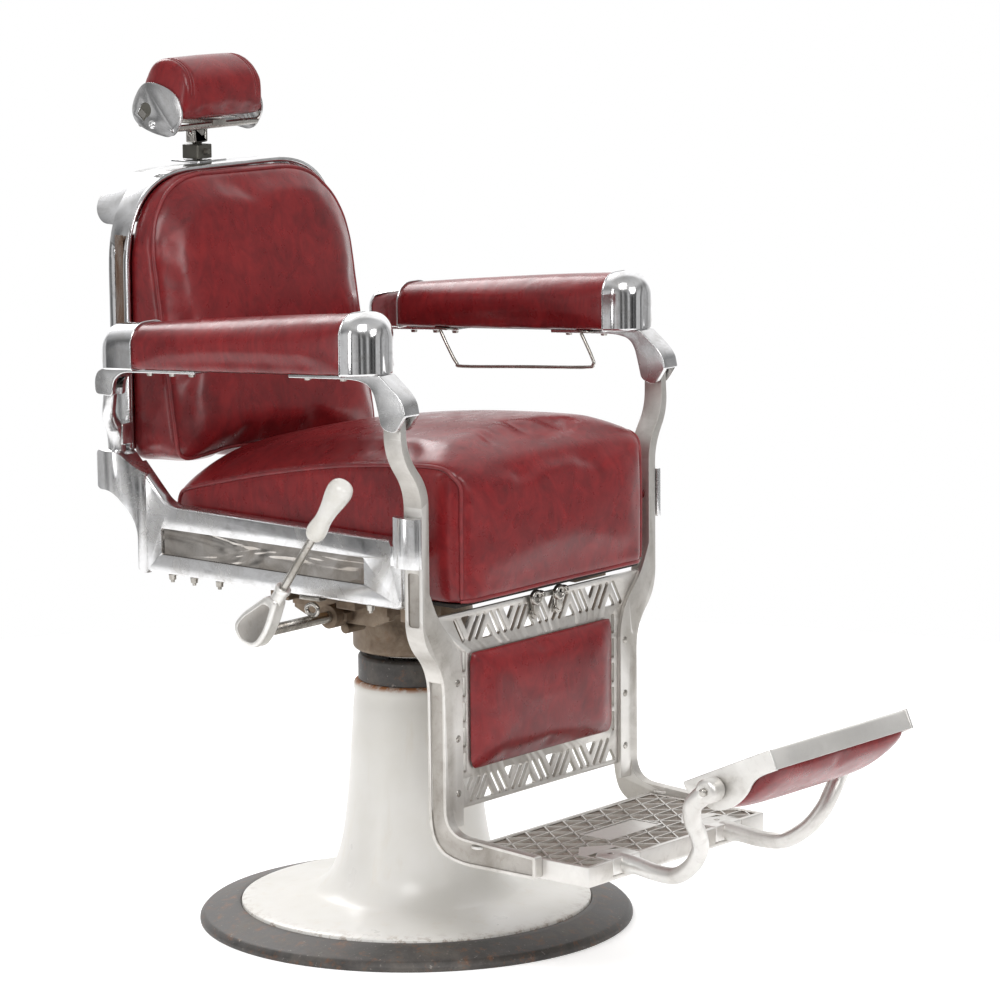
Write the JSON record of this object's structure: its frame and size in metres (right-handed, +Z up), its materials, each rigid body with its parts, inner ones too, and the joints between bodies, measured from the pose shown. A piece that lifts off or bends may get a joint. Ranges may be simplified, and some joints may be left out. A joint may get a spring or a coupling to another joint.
{
  "type": "barber chair",
  "caption": "Upholstered barber chair on a hydraulic enamelled pedestal, with linked reclining back, arms and leg frame, adjustable headrest and flip-over foot pad.",
  "frame": {"origin": "centre of the floor plate's underside, on the floor", "axes": "+Z up; the sitter faces -Y; +X is the sitter's left-hand side"},
  "size_m": [0.678, 1.2287, 1.244],
  "materials": {
    "enamel": "gloss off-white porcelain enamel, rust-stained at the top rim",
    "cast_iron": "dark, worn and lightly rusted",
    "hub_iron": "brown-grey cast surface, oily",
    "steel": "worn nickel plate",
    "chrome": "polished",
    "polished_aluminium": "polished casting with tarnish",
    "cast_aluminium": "dull cast surface",
    "blackened": "blackened, satin",
    "vinyl": "semi-gloss marbled oxblood vinyl over padding",
    "board": "plain plywood, hidden",
    "knob": "white, glossy"
  },
  "bodies": {
    "base": {"floor_plate": "cast_iron", "base_ring": "cast_iron", "base_casting": "enamel", "hydraulic_cylinder": "steel", "gland_collar": "blackened"},
    "ram": {"ram": "steel", "swivel_bearing": "steel"},
    "seat_frame": {"hub_casting": "hub_iron", "cross_member_front": "hub_iron", "cross_member_rear": "hub_iron", "side_rail_left": "polished_aluminium", "side_rail_right": "polished_aluminium", "rail_insert_left": "chrome", "rail_insert_right": "chrome", "seat_board": "board", "seat_cushion": "vinyl", "pump_bracket": "hub_iron", "eye_bracket": "steel"},
    "pump_lever": {"lever_shaft": "steel", "lever_arm": "cast_aluminium", "lever_rod": "steel", "lever_knob": "knob"},
    "pump_plunger": {"pump_plunger": "steel"},
    "back": {"back_frame": "chrome", "back_crown": "chrome", "back_panel": "vinyl", "back_cushion": "vinyl", "back_bracket_left": "cast_aluminium", "back_bracket_right": "cast_aluminium", "headrest_plate": "chrome", "headrest_clamp": "blackened"},
    "headrest_stem": {"headrest_stem": "steel"},
    "headrest": {"headrest_yoke": "steel", "headrest_end_plate_left": "cast_aluminium", "headrest_end_plate_right": "cast_aluminium", "headrest_pad": "vinyl"},
    "arm_left": {"arm_pad_left": "vinyl", "arm_front_cap_left": "chrome", "arm_rear_cap_left": "chrome", "arm_front_bracket_left": "polished_aluminium", "arm_rear_bracket_left": "polished_aluminium", "towel_bar": "steel"},
    "arm_right": {"arm_pad_right": "vinyl", "arm_front_cap_right": "chrome", "arm_rear_cap_right": "chrome", "arm_front_bracket_right": "polished_aluminium", "arm_rear_bracket_right": "polished_aluminium"},
    "leg_frame": {"front_post_left": "cast_aluminium", "front_post_right": "cast_aluminium", "grille_panel": "cast_aluminium", "leg_pad": "vinyl", "hook_bracket_left": "steel", "hook_bracket_right": "steel", "footplate": "cast_aluminium", "foot_arm_left": "cast_aluminium", "foot_arm_right": "cast_aluminium"},
    "foot_pad": {"footrest_tray": "cast_aluminium", "footrest_cushion": "vinyl"}
  },
  "joints": [
    {"name": "lift", "type": "slide", "parent": "base", "child": "ram", "axis": [0, 0, 1], "range_m": [0, 0.18]},
    {"name": "swivel", "type": "hinge", "parent": "ram", "child": "seat_frame", "pos_m": [0, 0, 0.4], "axis": [0, 0, 1], "continuous": true},
    {"name": "lever_swing", "type": "hinge", "parent": "seat_frame", "child": "pump_lever", "pos_m": [-0.332, 0, 0.474], "axis": [1, 0, 0], "range_deg": [-30, 40]},
    {"name": "plunger_stroke", "type": "slide", "parent": "seat_frame", "child": "pump_plunger", "axis": [0, 0, 1], "range_m": [-0.0065, 0.005]},
    {"name": "recline", "type": "hinge", "parent": "seat_frame", "child": "back", "pos_m": [0.2, 0.35, 0.662], "axis": [-1, 0, 0], "range_deg": [0, 45]},
    {"name": "leg_swing", "type": "hinge", "parent": "seat_frame", "child": "leg_frame", "pos_m": [0.2, -0.226, 0.617], "axis": [-1, 0, 0], "range_deg": [0, 35]},
    {"name": "arm_left_hinge", "type": "hinge", "parent": "back", "child": "arm_left", "pos_m": [0.288, 0.32, 0.788], "axis": [-1, 0, 0], "range_deg": [-48, 0]},
    {"name": "arm_right_hinge", "type": "hinge", "parent": "back", "child": "arm_right", "pos_m": [-0.288, 0.32, 0.788], "axis": [-1, 0, 0], "range_deg": [-48, 0]},
    {"name": "headrest_slide", "type": "slide", "parent": "back", "child": "headrest_stem", "axis": [0, 0, 1], "range_m": [0, 0.05]},
    {"name": "headrest_tilt", "type": "hinge", "parent": "headrest_stem", "child": "headrest", "pos_m": [0, 0.413, 1.128], "axis": [1, 0, 0], "range_deg": [-40, 30]},
    {"name": "foot_pad_flip", "type": "hinge", "parent": "leg_frame", "child": "foot_pad", "pos_m": [0, -0.672, 0.318], "axis": [-1, 0, 0], "range_deg": [0, 135]}
  ],
  "couplings": [
    {"joint": "plunger_stroke", "follows": "lever_swing", "m_per_rad": -0.008},
    {"joint": "leg_swing", "follows": "recline", "ratio": 0.76},
    {"joint": "arm_left_hinge", "follows": "recline", "ratio": -1.044},
    {"joint": "arm_right_hinge", "follows": "recline", "ratio": -1.044}
  ]
}
